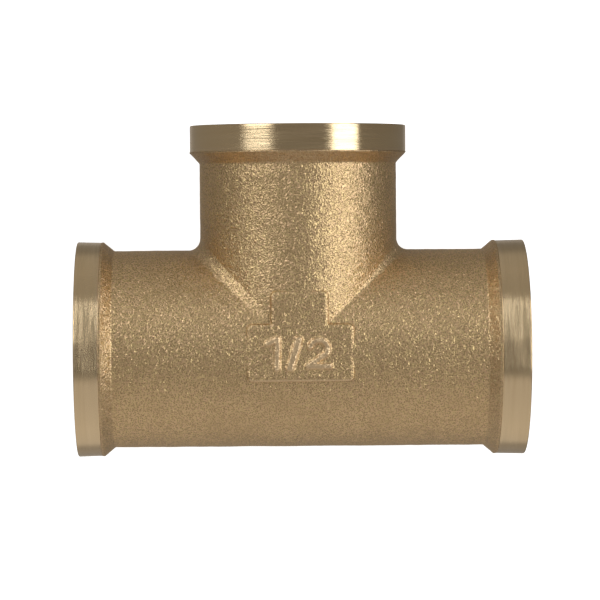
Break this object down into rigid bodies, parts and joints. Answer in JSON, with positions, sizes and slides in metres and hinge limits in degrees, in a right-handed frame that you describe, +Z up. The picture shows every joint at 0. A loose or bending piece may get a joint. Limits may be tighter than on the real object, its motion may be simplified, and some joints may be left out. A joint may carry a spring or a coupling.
{
  "type": "tee fitting",
  "caption": "Brass equal tee for half-inch pipe: run and branch tubes at right angles, with an internally threaded port at each end.",
  "frame": {"origin": "the middle of the tee's footprint, in the plane that its three cast lips rest on when it lies on its back; the axes cross at (0, -7.2 mm, 13.6 mm)", "axes": "+X along the run towards the right port, +Y along the branch towards its port, +Z up, out of the marking pad on the front"},
  "size_m": [0.056, 0.0416, 0.0272],
  "materials": {
    "cast_brass": "sand-cast and blasted, fine matt grain",
    "turned_brass": "turned bright, with fine marks round the axis"
  },
  "bodies": {
    "root": {"tee_body": "cast_brass", "left_end_band": "turned_brass", "right_end_band": "turned_brass", "branch_end_band": "turned_brass"}
  },
  "joints": []
}
